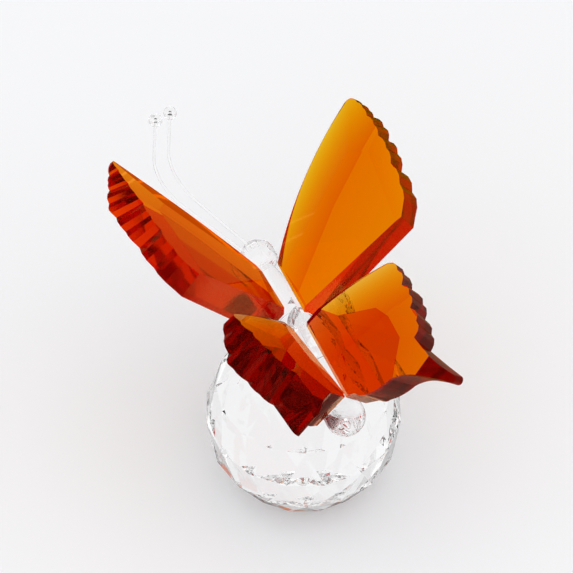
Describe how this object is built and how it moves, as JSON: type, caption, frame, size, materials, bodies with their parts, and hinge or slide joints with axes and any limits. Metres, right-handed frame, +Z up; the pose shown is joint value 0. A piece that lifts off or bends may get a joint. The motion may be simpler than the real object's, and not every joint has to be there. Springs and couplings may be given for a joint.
{
  "type": "butterfly ornament",
  "caption": "Cut glass butterfly with fluted amber wings on a clear teardrop body, standing on a faceted crystal ball base.",
  "frame": {"origin": "centre of the ball's flat resting face, on the ground", "axes": "+X to the butterfly's right, +Y forward towards its head, +Z up"},
  "size_m": [0.058, 0.0789, 0.0704],
  "materials": {
    "amber_glass": "amber crystal, cut and polished",
    "ball_glass": "clear crystal, cut and polished",
    "body_glass": "clear glass, fire polished",
    "bead_glass": "clear crystal, cut and polished",
    "tip_glass": "clear crystal, cut and polished",
    "filament": "clear stiff filament",
    "adhesive": "clear cured adhesive"
  },
  "bodies": {
    "root": {"crystal_ball_base": "ball_glass", "body": "body_glass", "head_bead": "bead_glass", "antenna_right": "filament", "antenna_left": "filament", "antenna_tip_right": "tip_glass", "antenna_tip_left": "tip_glass", "forewing_right": "amber_glass", "forewing_left": "amber_glass", "hindwing_right": "amber_glass", "hindwing_left": "amber_glass", "forewing_bond_right": "adhesive", "forewing_bond_left": "adhesive", "hindwing_bond_right": "adhesive", "hindwing_bond_left": "adhesive", "ball_bond": "adhesive", "head_bond": "adhesive", "antenna_glue_right": "adhesive", "antenna_glue_left": "adhesive"}
  },
  "joints": []
}
